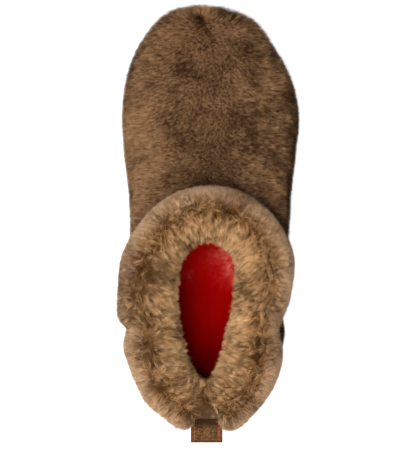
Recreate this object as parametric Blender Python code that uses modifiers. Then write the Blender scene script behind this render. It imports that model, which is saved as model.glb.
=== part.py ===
"""Sheepskin slipper boot for the right foot: a fur-out upper on a moulded sole.

Metres, +Z up, +Y to the toe, +X to the lateral (outer) side. The boot stands on its sole on z = 0,
and the origin is under the middle of its box. While it is modelled, y runs from 0 at the back of the
heel pile to BOOT_LENGTH at the tip of the toe pile.
"""

import math
import random
from collections import namedtuple

import bmesh
import bpy
from mathutils import Matrix, Vector

# Main sizes of the boot, over the clipped pile
BOOT_LENGTH = 0.273
BALL_WIDTH = 0.1166
HEEL_WIDTH = 0.095
WAIST_PINCH = 0.006  # how far each side of the foot of the upper draws in at the waist
SHAFT_HEIGHT = 0.080  # from the top of the sole to the rim
WALL = 0.009  # hide and pile together

# Sole
HEEL_THICKNESS = 0.020
BALL_THICKNESS = 0.014
TOE_SPRING = 0.008
ARCH_RISE = 0.003
SOLE_LIP = 0.0015  # how far the sole stands out beyond the foot of the upper
SOLE_BEVEL = 0.004
GROOVE_DEPTH = 0.0025
GROOVE_WIDTH = 0.004
GROOVE_PITCH = 0.012
FOREFOOT_GROOVES = 6
HEEL_GROOVES = 4

# Sheepskin sock inside
INSOLE_THICKNESS = 0.008
INSOLE_EDGE = 0.002

# Fur cuff
CUFF_HEIGHT = 0.036
CUFF_OVERHANG = 0.005
OPENING_LENGTH = 0.086
OPENING_WIDTH = 0.038
NOTCH_DEPTH = 0.0028  # how far the pile pulls in at each side seam
NOTCH_DROP = 0.006
NOTCH_SPREAD = 0.0065
NOTCH_FULL_AT = 0.3  # share of the cuff's height where the notch is at its full depth
RIM_DIP = 0.008  # how far the rim is lower at the sides than at front and back
LOCK_LENGTH = 0.014
LOCK_WIDTH = 0.0095
LOCK_HEIGHT = 0.0060
LOCK_DEPTH = 0.0022  # how far a lock's root is sunk in the pile
LOCK_CURL = 0.30  # how far the tip curls up, as a share of the length
LOCK_LEAN = 0.55  # most that a lock leans to either side
LOCK_SPREAD = 0.15  # how much the locks differ in size
LOCK_STAGGER = 0.20  # how far a lock strays along its row, as a share of the pitch

# Pull loop
LOOP_WIDTH = 0.020
LOOP_REACH = 0.0150
LOOP_THICKNESS = 0.0020
LOOP_OPENING = 0.0080  # clear height inside the fold
LOOP_SEWN = 0.0020  # length at the root where both layers are sewn together
LOOP_DROP = 0.0015
LOOP_LEG_STEPS = 5
LOOP_FOLD_STEPS = 8

FIT_GAP = 0.0003  # between pieces that touch
HALF_STEPS = 30  # steps from heel to toe on each side
SEED = 5

Ring = namedtuple("Ring", "height back front widest heel_half wide_half pinch dip")

# Sections of the upper, from the foot of the wall to the rim. height is a share of SHAFT_HEIGHT; back, front
# and widest are shares of BOOT_LENGTH from the heel; heel_half and wide_half are shares of half HEEL_WIDTH and
# half BALL_WIDTH; pinch is a share of WAIST_PINCH; dip is a share of RIM_DIP.
UPPER_RINGS = {
    "feather": Ring(0.000, 0.0260, 0.967, 0.733, 0.835, 0.875, 1.00, 0.00),
    "welt": Ring(0.062, 0.0225, 0.972, 0.734, 0.853, 0.889, 0.95, 0.00),
    "bulge": Ring(0.188, 0.0070, 0.993, 0.742, 0.950, 0.965, 0.60, 0.00),
    "fullest": Ring(0.338, 0.0000, 1.000, 0.744, 0.990, 0.995, 0.38, 0.00),
    "toe_wall": Ring(0.475, 0.0020, 0.984, 0.738, 0.990, 0.962, 0.30, 0.00),
    "toe_brow": Ring(0.562, 0.0060, 0.941, 0.712, 0.985, 0.890, 0.22, 0.00),
    "vamp_low": Ring(0.638, 0.0110, 0.872, 0.660, 0.975, 0.830, 0.15, 0.00),
    "vamp": Ring(0.706, 0.0160, 0.780, 0.549, 0.965, 0.826, 0.08, 0.00),
    "instep": Ring(0.780, 0.0210, 0.688, 0.458, 0.958, 0.836, 0.00, 0.15),
    "throat": Ring(0.866, 0.0255, 0.615, 0.385, 0.954, 0.852, 0.00, 0.45),
    "neck": Ring(0.943, 0.0285, 0.562, 0.352, 0.954, 0.862, 0.00, 0.85),
    "rim": Ring(1.000, 0.0295, 0.549, 0.344, 0.950, 0.858, 0.00, 1.00),
}
RING_STEPS = 2  # rows of faces between two sections
HEEL_AT = 0.200  # where the heel is widest, as a share of the length
RIM_HEEL_AT = 0.220
WAIST_AT = 0.50
WAIST_SPREAD = 0.26
TOE_ROUND = 1.96  # 2 is an ellipse, and more is blunter
HEEL_ROUND = 2.15
DIP_AT = 0.247  # side seam, as a share of the length
DIP_SPREAD = 0.185

Bend = namedtuple("Bend", "at side")

# The last curves inward at the toe: side is a share of BALL_WIDTH, positive to the lateral side.
LAST_CURVE = {
    "heel": Bend(0.00, -0.007),
    "seam": Bend(0.26, -0.020),
    "waist": Bend(0.50, 0.009),
    "ball": Bend(0.73, 0.012),
    "toe": Bend(1.00, -0.022),
}

SolePoint = namedtuple("SolePoint", "inset rise")

# Edge of the sole from the tread up: inset is a share of SOLE_BEVEL and rise a share of the thickness.
SOLE_EDGE = {
    "tread": SolePoint(1.00, 0.00),
    "bevel": SolePoint(0.30, 0.10),
    "wall_low": SolePoint(0.00, 0.28),
    "groove_low": SolePoint(0.05, 0.50),
    "groove": SolePoint(0.32, 0.56),
    "groove_high": SolePoint(0.05, 0.62),
    "wall_high": SolePoint(0.00, 0.86),
    "top": SolePoint(0.25, 1.00),
}
SOLE_TOP_AT = {"heel_end": 0.30, "ball": 0.68, "spring_start": 0.70}
ARCH_FROM, ARCH_TO = 0.36, 0.56
HEEL_TREAD = (0.07, 0.30)
FOREFOOT_TREAD = (0.60, 0.86)

CuffRow = namedtuple("CuffRow", "inward height")

# Section of the cuff. inward is 0 over the outer edge of the rim, 1 at the opening and -1 at the overhang;
# height is a share of CUFF_HEIGHT above the rim.
CUFF_SECTION = {
    "seat_edge": CuffRow(0.00, 0.00),
    "overhang": CuffRow(-0.80, 0.06),
    "side_low": CuffRow(-1.00, 0.26),
    "side": CuffRow(-0.92, 0.50),
    "side_high": CuffRow(-0.45, 0.74),
    "brow": CuffRow(0.10, 0.92),
    "crest": CuffRow(0.30, 1.00),
    "slope": CuffRow(0.52, 0.95),
    "inner": CuffRow(0.74, 0.76),
    "lip": CuffRow(0.92, 0.48),
    "edge": CuffRow(1.00, 0.22),
    "under": CuffRow(0.90, 0.02),
    "seat_inner": CuffRow(0.50, 0.00),
}

OpeningShape = namedtuple("OpeningShape", "behind widest heel_at heel_half")

# The foot opening: behind is the share of its length that lies behind the middle of the rim, widest and heel_at
# are shares of the length from its back, and heel_half is a share of half its width.
OPENING_SHAPE = OpeningShape(0.53, 0.72, 0.30, 0.72)

LockRow = namedtuple("LockRow", "inward height count length towards rise")

# Rows of wool locks on the cuff, placed as in its section: length is a share of LOCK_LENGTH, and towards and rise
# are how much a lock points at the opening and up.
LOCK_ROWS = {
    "crest": LockRow(0.26, 0.97, 17, 0.95, 0.90, 0.30),
    "slope": LockRow(0.46, 0.95, 16, 1.05, 1.00, 0.10),
    "inner": LockRow(0.66, 0.82, 15, 1.00, 0.85, -0.25),
    "lip": LockRow(0.84, 0.58, 13, 0.75, 0.50, -0.60),
}


LockSection = namedtuple("LockSection", "along width")

# A lock from its sunken root to near its tip: along is a share of its length and width a share of its width.
LOCK_SECTIONS = {
    "root": LockSection(-0.25, 0.85),
    "belly": LockSection(0.35, 1.00),
    "neck": LockSection(0.75, 0.55),
}


def clear_scene():
    for thing in list(bpy.data.objects):
        bpy.data.objects.remove(thing)


def mix(a, b, share):
    return a + (b - a) * share


def smooth(share):
    share = min(max(share, 0.0), 1.0)
    return share * share * (3.0 - 2.0 * share)


def hump(value, centre, spread):
    """A bell one high at centre, that ends at spread to either side."""
    share = min(abs(value - centre) / spread, 1.0)
    return 0.5 + 0.5 * math.cos(math.pi * share)


def last_centre(along):
    """Sideways place of the centre line at a share of the length."""
    bends = list(LAST_CURVE.values())
    for low, high in zip(bends, bends[1:]):
        if along <= high.at:
            return BALL_WIDTH * mix(low.side, high.side, smooth((along - low.at) / (high.at - low.at)))
    return BALL_WIDTH * bends[-1].side


def sole_top(y):
    """Height of the top of the sole: down from heel to ball, then up with the toe spring."""
    along = y / BOOT_LENGTH
    fall = smooth((along - SOLE_TOP_AT["heel_end"]) / (SOLE_TOP_AT["ball"] - SOLE_TOP_AT["heel_end"]))
    spring = max(0.0, (along - SOLE_TOP_AT["spring_start"]) / (1.0 - SOLE_TOP_AT["spring_start"]))
    return mix(HEEL_THICKNESS, BALL_THICKNESS, fall) + TOE_SPRING * spring ** 2


def sole_bottom(y):
    """Height of the tread: flat at heel and forefoot, raised in the arch and at the toe."""
    along = y / BOOT_LENGTH
    spring = max(0.0, (along - SOLE_TOP_AT["spring_start"]) / (1.0 - SOLE_TOP_AT["spring_start"]))
    middle = (ARCH_FROM + ARCH_TO) / 2
    arch = hump(along, middle, (ARCH_TO - ARCH_FROM) / 2)
    return TOE_SPRING * spring ** 2 + ARCH_RISE * arch


def footprint(back, front, widest, heel_half, wide_half, heel_at, pinch=0.0):
    """Points of one closed outline, all in metres: the heel, up the lateral side, the toe, down the medial."""
    stations = []
    for step in range(HALF_STEPS + 1):
        y = back + (front - back) * (1.0 - math.cos(math.pi * step / HALF_STEPS)) / 2
        if y >= widest:
            end = min((y - widest) / (front - widest), 1.0)
            half = wide_half * (1.0 - end ** TOE_ROUND) ** (1 / TOE_ROUND)
        elif y <= heel_at:
            end = min((heel_at - y) / (heel_at - back), 1.0)
            half = heel_half * (1.0 - end ** HEEL_ROUND) ** (1 / HEEL_ROUND)
        else:
            half = mix(heel_half, wide_half, smooth((y - heel_at) / (widest - heel_at)))
        half -= pinch * hump(y / BOOT_LENGTH, WAIST_AT, WAIST_SPREAD)
        stations.append((last_centre(y / BOOT_LENGTH), half, y))
    lateral = [Vector((centre + half, y)) for centre, half, y in stations]
    medial = [Vector((centre - half, y)) for centre, half, y in stations[1:-1]]
    return lateral + medial[::-1]


def ring_outline(ring, inset=0.0):
    """The outline of one section of the upper, moved in all round by inset."""
    outline = footprint(
        ring.back * BOOT_LENGTH,
        ring.front * BOOT_LENGTH,
        ring.widest * BOOT_LENGTH,
        ring.heel_half * HEEL_WIDTH / 2,
        ring.wide_half * BALL_WIDTH / 2,
        mix(HEEL_AT, RIM_HEEL_AT, ring.height) * BOOT_LENGTH,
        ring.pinch * WAIST_PINCH,
    )
    return move_in(outline, inset)


def move_in(outline, distance):
    """Each point of an outline moved square to it, towards its inside."""
    moved = []
    for index, point in enumerate(outline):
        along = outline[(index + 1) % len(outline)] - outline[index - 1]
        moved.append(point + Vector((-along.y, along.x)).normalized() * distance)
    return moved


def ring_points(ring):
    """A section of the upper in space. It follows the sole's curve at its foot, and not at the rim."""
    points = []
    for flat in ring_outline(ring):
        dip = ring.dip * RIM_DIP * hump(flat.y / BOOT_LENGTH, DIP_AT, DIP_SPREAD)
        follow = (sole_top(flat.y) - HEEL_THICKNESS) * (1.0 - ring.height)
        height = HEEL_THICKNESS + FIT_GAP + ring.height * SHAFT_HEIGHT + follow - dip
        points.append(Vector((flat.x, flat.y, height)))
    return points


def spline(before, start, end, after, share):
    """A point on the smooth curve from start to end, which bends towards its neighbours."""
    return 0.5 * (
        2.0 * start
        + (end - before) * share
        + (2.0 * before - 5.0 * start + 4.0 * end - after) * share ** 2
        + (3.0 * start - before - 3.0 * end + after) * share ** 3
    )


def smooth_rings(rings, steps):
    """The rings, with steps - 1 rings between each two, on smooth curves."""
    rows = []
    last = len(rings) - 1
    for index in range(last):
        near = [rings[max(index - 1, 0)], rings[index], rings[index + 1], rings[min(index + 2, last)]]
        for step in range(steps):
            rows.append([spline(*points, step / steps) for points in zip(*near)])
    rows.append(rings[-1])
    return rows


def band_faces(bm, lower, upper):
    for index in range(len(lower)):
        after = (index + 1) % len(lower)
        bm.faces.new((lower[index], lower[after], upper[after], upper[index]))


def ladder_faces(bm, ring, facing_up):
    """Closes an outline from heel to toe with rungs from side to side."""
    count = len(ring)
    for step in range(count // 2):
        corners = [ring[step], ring[step + 1], ring[-step - 1], ring[-step % count]]
        corners = list(dict.fromkeys(corners))
        bm.faces.new(corners if facing_up else corners[::-1])


def mesh_from_rows(name, rows, closed_loop=False, capped=False):
    """A mesh lofted through rows of points, each row a closed ring."""
    bm = bmesh.new()
    rings = [[bm.verts.new(point) for point in row] for row in rows]
    for lower, upper in zip(rings, rings[1:]):
        band_faces(bm, lower, upper)
    if closed_loop:
        band_faces(bm, rings[-1], rings[0])
    if capped:
        ladder_faces(bm, rings[0], facing_up=False)
        ladder_faces(bm, rings[-1], facing_up=True)
    bmesh.ops.recalc_face_normals(bm, faces=bm.faces)
    mesh = bpy.data.meshes.new(name)
    bm.to_mesh(mesh)
    bm.free()
    return mesh


def material(name, colour, roughness):
    made = bpy.data.materials.new(name)
    made.use_nodes = True
    shader = made.node_tree.nodes["Principled BSDF"]
    shader.inputs["Base Color"].default_value = (*colour, 1.0)
    shader.inputs["Roughness"].default_value = roughness
    return made


def add_object(name, data, collection, finish=None):
    thing = bpy.data.objects.new(name, data)
    collection.objects.link(thing)
    if finish:
        data.materials.append(finish)
    return thing


def soften(thing, angle=40.0):
    thing.data.shade_smooth()
    thing.data.set_sharp_from_angle(angle=math.radians(angle))


def add_cut(thing, cutter, operation="DIFFERENCE"):
    cut = thing.modifiers.new(operation.lower(), "BOOLEAN")
    cut.operation = operation
    cut.solver = "EXACT"
    cut.use_self = operation == "UNION"
    cut.object = cutter


def hide_helper(thing):
    thing.hide_render = True
    thing.display_type = "WIRE"


def make_upper(collection):
    """Vamp, heel and shaft as one wall, open at the rim and where the sole closes it."""
    rings = [ring_points(ring) for ring in UPPER_RINGS.values()]
    upper = add_object(
        "upper",
        mesh_from_rows("upper", smooth_rings(rings, RING_STEPS)),
        collection,
        material("brown_pile", (0.13, 0.068, 0.032), 0.95),
    )
    wall = upper.modifiers.new("wall", "SOLIDIFY")
    wall.thickness = WALL
    wall.offset = -1.0
    soften(upper)
    return upper


def make_sole(collection, helpers):
    """Moulded sole with arch, toe spring, a line round its side and grooves across its tread."""
    rows = []
    for edge in SOLE_EDGE.values():
        inset = edge.inset * SOLE_BEVEL - SOLE_LIP
        row = []
        for flat in ring_outline(UPPER_RINGS["feather"], inset):
            height = mix(sole_bottom(flat.y), sole_top(flat.y), edge.rise)
            row.append(Vector((flat.x, flat.y, height)))
        rows.append(row)
    sole = add_object(
        "outsole",
        mesh_from_rows("outsole", rows, capped=True),
        collection,
        material("dark_rubber", (0.030, 0.024, 0.020), 0.8),
    )
    soften(sole)
    add_cut(sole, make_groove_cutter(helpers))
    return sole


def make_groove_cutter(helpers):
    """One box for each groove across the tread, all in one mesh."""
    bm = bmesh.new()
    for zone, count in ((HEEL_TREAD, HEEL_GROOVES), (FOREFOOT_TREAD, FOREFOOT_GROOVES)):
        middle = (zone[0] + zone[1]) / 2 * BOOT_LENGTH
        for index in range(count):
            y = middle + (index - (count - 1) / 2) * GROOVE_PITCH
            top = sole_bottom(y) + GROOVE_DEPTH
            size = Matrix.Diagonal((2 * BALL_WIDTH, GROOVE_WIDTH, 4 * GROOVE_DEPTH, 1.0))
            place = Matrix.Translation((0.0, y, top - 2 * GROOVE_DEPTH))
            bmesh.ops.create_cube(bm, size=1.0, matrix=place @ size)
    mesh = bpy.data.meshes.new("grooves")
    bm.to_mesh(mesh)
    bm.free()
    cutter = add_object("grooves", mesh, helpers)
    hide_helper(cutter)
    return cutter


def make_insole(collection):
    """Sheepskin sock that lies on the sole inside the wall."""
    edges = ((INSOLE_EDGE, 0.0), (0.0, 0.3), (0.0, 0.7), (INSOLE_EDGE, 1.0))
    rows = []
    for inset, rise in edges:
        row = []
        for flat in ring_outline(UPPER_RINGS["feather"], WALL + 2 * FIT_GAP + inset):
            height = sole_top(flat.y) + FIT_GAP + rise * INSOLE_THICKNESS
            row.append(Vector((flat.x, flat.y, height)))
        rows.append(row)
    insole = add_object(
        "insole",
        mesh_from_rows("insole", rows, capped=True),
        collection,
        material("red_pile", (0.30, 0.002, 0.001), 0.95),
    )
    soften(insole)
    return insole


def opening_points():
    """Outline of the foot opening: wide in front, narrow at the heel."""
    rim = UPPER_RINGS["rim"]
    middle = (rim.back + rim.front) / 2 * BOOT_LENGTH
    back = middle - OPENING_LENGTH * OPENING_SHAPE.behind
    front = back + OPENING_LENGTH
    widest = mix(back, front, OPENING_SHAPE.widest)
    heel_at = mix(back, front, OPENING_SHAPE.heel_at)
    heel_half = OPENING_WIDTH / 2 * OPENING_SHAPE.heel_half
    return footprint(back, front, widest, heel_half, OPENING_WIDTH / 2, heel_at)


def side_pull(y):
    """How much the pile is pulled in at the side seams, from 0 to 1."""
    return math.exp(-(((y - DIP_AT * BOOT_LENGTH) / NOTCH_SPREAD) ** 2))


def cuff_point(rim_point, open_point, inward, height):
    """A point of the cuff in the section from the rim to the opening."""
    way = Vector((open_point.x - rim_point.x, open_point.y - rim_point.y, 0.0))
    pull = side_pull(rim_point.y) * smooth(height / NOTCH_FULL_AT)
    if inward < 0:
        shift = way.normalized() * (inward * CUFF_OVERHANG)
    else:
        shift = way * inward
    notch = way.normalized() * (NOTCH_DEPTH * pull * (1.0 - smooth(inward)))
    rise = FIT_GAP + height * (CUFF_HEIGHT - NOTCH_DROP * pull)
    return rim_point + shift + notch + Vector((0.0, 0.0, rise))


def make_lock(bm, root, direction, side, size):
    """One broad lock of wool with four sides, that tapers and curls up to its tip. size is a scale."""
    up = side.cross(direction).normalized()
    side = direction.cross(up).normalized()
    length = LOCK_LENGTH * size
    offsets = (side * LOCK_WIDTH, up * LOCK_HEIGHT, -side * LOCK_WIDTH, -up * LOCK_HEIGHT)
    rings = []
    for section in LOCK_SECTIONS.values():
        curl = up * (LOCK_CURL * max(section.along, 0.0) ** 2)
        centre = root + (direction * section.along + curl) * length
        rings.append([bm.verts.new(centre + offset * (size * section.width / 2)) for offset in offsets])
    tip = bm.verts.new(root + (direction + up * LOCK_CURL) * length)
    bm.faces.new(rings[0])
    for lower, upper in zip(rings, rings[1:]):
        band_faces(bm, lower, upper)
    for index in range(4):
        bm.faces.new((rings[-1][index], rings[-1][(index + 1) % 4], tip))


def between(points, place):
    """The point at a share of the way round a closed outline."""
    low = int(place * len(points)) % len(points)
    return points[low].lerp(points[(low + 1) % len(points)], place * len(points) % 1.0)


def make_locks(helpers, rim, opening):
    """Locks in staggered rows over the crest and down into the opening, as one mesh to fuse on."""
    draw = random.Random(SEED)
    upward = Vector((0.0, 0.0, 1.0))
    bm = bmesh.new()
    for number, row in enumerate(LOCK_ROWS.values()):
        for index in range(row.count):
            stray = 0.5 * (number % 2) + draw.uniform(-LOCK_STAGGER, LOCK_STAGGER)
            place = (index + stray) / row.count % 1.0
            rim_point, open_point = between(rim, place), between(opening, place)
            inward = Vector((open_point.x - rim_point.x, open_point.y - rim_point.y, 0.0)).normalized()
            around = upward.cross(inward)
            outward = (upward * row.towards - inward * row.rise).normalized()
            root = cuff_point(rim_point, open_point, row.inward, row.height) - outward * LOCK_DEPTH
            lean = around * draw.uniform(-LOCK_LEAN, LOCK_LEAN)
            direction = inward * row.towards + upward * row.rise + lean
            size = row.length * draw.uniform(1 - LOCK_SPREAD, 1 + LOCK_SPREAD)
            make_lock(bm, root, direction.normalized(), around, size)
    bmesh.ops.recalc_face_normals(bm, faces=bm.faces)
    mesh = bpy.data.meshes.new("locks")
    bm.to_mesh(mesh)
    bm.free()
    locks = add_object("locks", mesh, helpers)
    hide_helper(locks)
    return locks


def make_cuff(collection, helpers):
    """Deep wool cuff seated on the rim, round over the top and full towards the opening."""
    rim = ring_points(UPPER_RINGS["rim"])
    opening = opening_points()
    rows = []
    for row in CUFF_SECTION.values():
        rows.append([cuff_point(*pair, row.inward, row.height) for pair in zip(rim, opening)])
    cuff = add_object(
        "fur_cuff",
        mesh_from_rows("fur_cuff", rows, closed_loop=True),
        collection,
        material("tan_wool", (0.28, 0.16, 0.075), 0.95),
    )
    soften(cuff)
    add_cut(cuff, make_locks(helpers, rim, opening), "UNION")
    return cuff


def fold_outline(root, top, reach, fullest, closed):
    """Side view of one face of the folded strap, as points of y and z, from its root and back to it."""
    legs = []
    middle = top - LOOP_THICKNESS - LOOP_OPENING / 2
    radius = fullest / 2
    for step in range(LOOP_LEG_STEPS):
        share = step / LOOP_LEG_STEPS
        legs.append((root - (reach - radius) * share, mix(closed / 2, radius, smooth(share))))
    for step in range(LOOP_FOLD_STEPS + 1):
        angle = math.pi * step / LOOP_FOLD_STEPS
        legs.append((root - reach + radius - radius * math.sin(angle), radius * math.cos(angle)))
    legs += [(y, -rise) for y, rise in legs[LOOP_LEG_STEPS - 1 :: -1]]
    droop = LOOP_DROP / LOOP_REACH
    return [(y, middle + rise - droop * (root - y)) for y, rise in legs]


def make_pull_loop(collection):
    """Folded strap of hide that stands out from the back seam just under the cuff."""
    wall = ring_points(UPPER_RINGS["throat"])[0].lerp(ring_points(UPPER_RINGS["neck"])[0], 0.5)
    top = ring_points(UPPER_RINGS["rim"])[0].z - 2 * FIT_GAP
    root = wall.y - FIT_GAP
    full = LOOP_OPENING + 2 * LOOP_THICKNESS
    outer = fold_outline(root, top, LOOP_REACH, full, 2 * LOOP_THICKNESS)
    inner = fold_outline(root - LOOP_SEWN, top, LOOP_REACH - LOOP_SEWN - LOOP_THICKNESS, LOOP_OPENING, 0.0)
    bm = bmesh.new()
    sides = []
    for x in (wall.x - LOOP_WIDTH / 2, wall.x + LOOP_WIDTH / 2):
        outside = [bm.verts.new((x, y, z)) for y, z in outer]
        inside = [bm.verts.new((x, y, z)) for y, z in inner[:-1]]
        sides.append((outside, inside))
        hole = inside + inside[:1]
        for index in range(len(outside) - 1):
            bm.faces.new((outside[index], outside[index + 1], hole[index + 1], hole[index]))
        bm.faces.new((outside[-1], outside[0], inside[0]))
    for left, right in zip(*sides):
        band_faces(bm, left, right)
    bmesh.ops.recalc_face_normals(bm, faces=bm.faces)
    mesh = bpy.data.meshes.new("pull_loop")
    bm.to_mesh(mesh)
    bm.free()
    loop = add_object("pull_loop", mesh, collection, material("brown_suede", (0.13, 0.065, 0.025), 0.9))
    soften(loop)
    return loop


def stand_on_origin(pieces, helpers):
    """Moves the boot and its cutters as one so that the origin is under the middle of its box."""
    bpy.context.view_layer.update()
    graph = bpy.context.evaluated_depsgraph_get()
    corners = []
    for piece in pieces.objects:
        solid = piece.evaluated_get(graph)
        corners += [solid.matrix_world @ Vector(corner) for corner in solid.bound_box]
    middle = [(min(c[axis] for c in corners) + max(c[axis] for c in corners)) / 2 for axis in (0, 1)]
    root = bpy.data.objects.new("boot_root", None)
    for thing in [*pieces.objects, *helpers.objects]:
        thing.parent = root
    pieces.objects.link(root)
    root.location = (-middle[0], -middle[1], 0.0)


def main():
    clear_scene()
    boot = bpy.data.collections.new("sheepskin_boot")
    helpers = bpy.data.collections.new("cutters")
    bpy.context.scene.collection.children.link(boot)
    bpy.context.scene.collection.children.link(helpers)
    make_sole(boot, helpers)
    make_insole(boot)
    make_upper(boot)
    make_cuff(boot, helpers)
    make_pull_loop(boot)
    stand_on_origin(boot, helpers)


main()
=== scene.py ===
# %% [markdown] A right boot of sheepskin, worn with its fur outside, stands empty on a pale floor and is seen
# from straight above. This lesson dresses them: plush over the foot, a deep wool cuff, a red insole, a suede
# pull loop with its stitches, and a moulded sole. Blender's noise starts from the clock unless it is given a
# seed. It gets one, so each run makes the same boot.

# %% The frame
import math

import bmesh
import bpy
import numpy as np
from mathutils import Matrix, Vector, noise
from mathutils.bvhtree import BVHTree
from mathutils.kdtree import KDTree


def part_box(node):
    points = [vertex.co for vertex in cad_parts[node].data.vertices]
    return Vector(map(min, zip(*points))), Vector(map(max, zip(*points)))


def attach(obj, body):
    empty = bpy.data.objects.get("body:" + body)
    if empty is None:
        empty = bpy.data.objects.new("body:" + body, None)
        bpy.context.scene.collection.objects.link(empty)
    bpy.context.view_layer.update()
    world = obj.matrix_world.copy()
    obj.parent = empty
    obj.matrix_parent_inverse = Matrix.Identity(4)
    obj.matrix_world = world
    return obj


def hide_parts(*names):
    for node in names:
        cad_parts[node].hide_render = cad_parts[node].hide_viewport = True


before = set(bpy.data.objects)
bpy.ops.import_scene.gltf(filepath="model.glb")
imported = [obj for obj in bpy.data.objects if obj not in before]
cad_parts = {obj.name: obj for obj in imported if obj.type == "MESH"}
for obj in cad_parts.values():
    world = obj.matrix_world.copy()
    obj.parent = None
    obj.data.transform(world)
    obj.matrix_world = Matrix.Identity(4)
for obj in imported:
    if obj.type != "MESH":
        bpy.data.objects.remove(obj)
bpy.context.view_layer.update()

BODY = "root"
MM = 0.001
NOISE_SEED = 3
noise.seed_set(NOISE_SEED)
print("solids:", sorted(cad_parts))

# %% [markdown]
# The photographer stood well back and looked straight down, so the sides of the boot hardly show. A camera
# without perspective would hide them wholly, and a near one would show too much of them. A long lens at 1.6 m
# is right. The image's width and the angle that one pixel spans give the focal length.

# %% Camera
IMAGE_WIDTH = 416
CAMERA_X, CAMERA_Y, CAMERA_HEIGHT = -1.35 * MM, -3.0 * MM, 1.6
PIXELS_PER_RADIAN = 2392
SENSOR = 36.0

lens = bpy.data.cameras.new("overhead")
lens.sensor_fit = "HORIZONTAL"
lens.sensor_width = SENSOR
lens.lens = PIXELS_PER_RADIAN * SENSOR / IMAGE_WIDTH
camera = bpy.data.objects.new("overhead", lens)
camera.location = (CAMERA_X, CAMERA_Y, CAMERA_HEIGHT)
bpy.context.scene.collection.objects.link(camera)
bpy.context.scene.camera = camera
print("focal length", round(lens.lens, 1), "mm")

# %% [markdown]
# A studio shot for a catalogue has a soft light beside the camera, which reaches down into the boot, and a
# second one at the upper left, which leaves the right side in deep shade. Spot lamps would throw hard
# shadows. Area lights are used because their size sets how soft the shadows are.

# %% Lights
BOOT_MIDDLE = Vector((0.0, 0.0, 0.06))


def soft_light(name, place, size, power, colour):
    """A square soft box that points at the middle of the boot."""
    lamp = bpy.data.lights.new(name, "AREA")
    lamp.shape = "SQUARE"
    lamp.size = size
    lamp.energy = power
    lamp.color = colour
    box = bpy.data.objects.new(name, lamp)
    box.location = place
    aim = BOOT_MIDDLE - box.location
    box.rotation_euler = aim.to_track_quat("-Z", "Y").to_euler()
    bpy.context.scene.collection.objects.link(box)


soft_light("key", place=(-1.25, 0.25, 0.95), size=0.60, power=5.0, colour=(1.0, 0.97, 0.93))
soft_light("top", place=(-0.24, -0.24, 1.82), size=0.75, power=62.0, colour=(1.0, 0.98, 0.95))
bpy.context.scene.view_settings.view_transform = "Standard"

# %% [markdown]
# Blender's shader nodes can be placed by hand, but in a script they are easier to read as sums. Wire wraps
# one output socket, so that Python's own signs add the Math nodes, and Recipe makes every other node from its
# type, its settings and its inputs.


# %% Shader words
class Wire:
    """An output socket, on which Python's signs add Math nodes."""

    def __init__(self, recipe, socket):
        self.recipe, self.socket = recipe, socket

    def maths(self, operation, first, second):
        return self.recipe.add("ShaderNodeMath", {"operation": operation}, {0: first, 1: second})

    def __add__(self, other):
        return self.maths("ADD", self, other)

    def __radd__(self, other):
        return self.maths("ADD", other, self)

    def __sub__(self, other):
        return self.maths("SUBTRACT", self, other)

    def __rsub__(self, other):
        return self.maths("SUBTRACT", other, self)

    def __mul__(self, other):
        return self.maths("MULTIPLY", self, other)

    def __rmul__(self, other):
        return self.maths("MULTIPLY", other, self)


class Recipe:
    """A material that is written as a list of steps."""

    def __init__(self, name):
        self.material = bpy.data.materials.new(name)
        self.material.use_nodes = True
        self.tree = self.material.node_tree
        self.shader = self.tree.nodes["Principled BSDF"]

    def add(self, kind, settings=None, inputs=None, out=0):
        """A node of any type: its settings first, then the values or links of its sockets."""
        node = self.tree.nodes.new(kind)
        for name, value in (settings or {}).items():
            setattr(node, name, value)
        for name, value in (inputs or {}).items():
            self.feed(node.inputs[name], value)
        return Wire(self, node.outputs[out])

    def feed(self, socket, value):
        if isinstance(value, Wire):
            self.tree.links.new(value.socket, socket)
        else:
            socket.default_value = value

    def mix(self, share, first, second):
        """Mixes two colours, each a Wire or three numbers."""
        first, second = (c if isinstance(c, Wire) else (*c, 1.0) for c in (first, second))
        settings = {"data_type": "RGBA", "clamp_factor": True}
        return self.add("ShaderNodeMix", settings, {0: share, 6: first, 7: second}, out=2)

    def grain(self, size, detail=2.0, rough=0.5):
        """Noise from 0 to 1 whose patches are about size metres across."""
        place = self.add("ShaderNodeTexCoord", out="Object")
        inputs = {"Vector": place, "Scale": 1.0 / size, "Detail": detail, "Roughness": rough}
        return self.add("ShaderNodeTexNoise", {}, inputs)

    def stored(self, name):
        """A number that the mesh keeps at each of its corners."""
        return self.add("ShaderNodeAttribute", {"attribute_name": name}, out="Fac")

    def stretch(self, value, low, high):
        """Spreads the values from low to high over 0 to 1."""
        inputs = {"Value": value, "From Min": low, "From Max": high}
        return self.add("ShaderNodeMapRange", {"clamp": True}, inputs)

    def bump(self, height, depth):
        return self.add("ShaderNodeBump", {}, {"Height": height, "Distance": depth})

    def finish(self, **sockets):
        """Feeds the shader's sockets, named in Python's way, and gives the material back."""
        for name, value in sockets.items():
            title = name.replace("_", " ").title().replace("Ior", "IOR")
            self.feed(self.shader.inputs[title], value)
        return self.material


print("shader words:", [word for word in vars(Recipe) if not word.startswith("_")])

# %% [markdown]
# A strand of pile is dark at its root and pale at its sun-bleached tip, and whole patches are lighter or
# darker. A painted picture could show this, but it would look flat from the side. Here each strand stores how
# far along it a point lies, how light its own tip is, and the tone of its patch of the fleece, and the
# material reads all three. The tone also holds painted shade and painted light. Wool scatters light inside
# and hardly shines, so the surface is rough and its mirror part is almost off.

# %% Pile finishes
ROOT_ZONE = (0.05, 0.60)
TIP_ZONE = (0.40, 1.0)
WOOL_ROUGHNESS = 0.9
WOOL_SHINE = 0.03


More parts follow.
